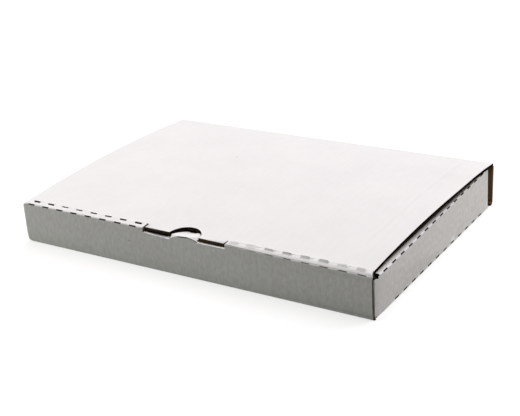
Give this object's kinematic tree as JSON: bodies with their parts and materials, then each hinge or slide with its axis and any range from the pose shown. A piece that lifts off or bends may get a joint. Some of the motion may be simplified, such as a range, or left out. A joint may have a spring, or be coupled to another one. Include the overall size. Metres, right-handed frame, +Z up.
{
  "type": "corrugated mailer box",
  "caption": "Flat die-cut corrugated mailer box, closed: tray with perforated roll-over walls, and a back-hinged lid with tuck flaps, a front tab and a thumb cut.",
  "frame": {"origin": "centre of the floor's underside, on the surface that the box rests on", "axes": "+X along the long front edge, to the right as seen from the front; -Y towards the front wall with the tab and thumb cut; +Z up"},
  "size_m": [0.322, 0.232, 0.0397],
  "materials": {
    "white_board": "matte"
  },
  "bodies": {
    "tray": {"tray": "white_board"},
    "lid": {"lid": "white_board"}
  },
  "joints": [
    {"name": "lid_hinge", "type": "hinge", "parent": "tray", "child": "lid", "pos_m": [0, 0.116, 0.0335], "axis": [-1, 0, 0], "range_deg": [0, 180]}
  ]
}
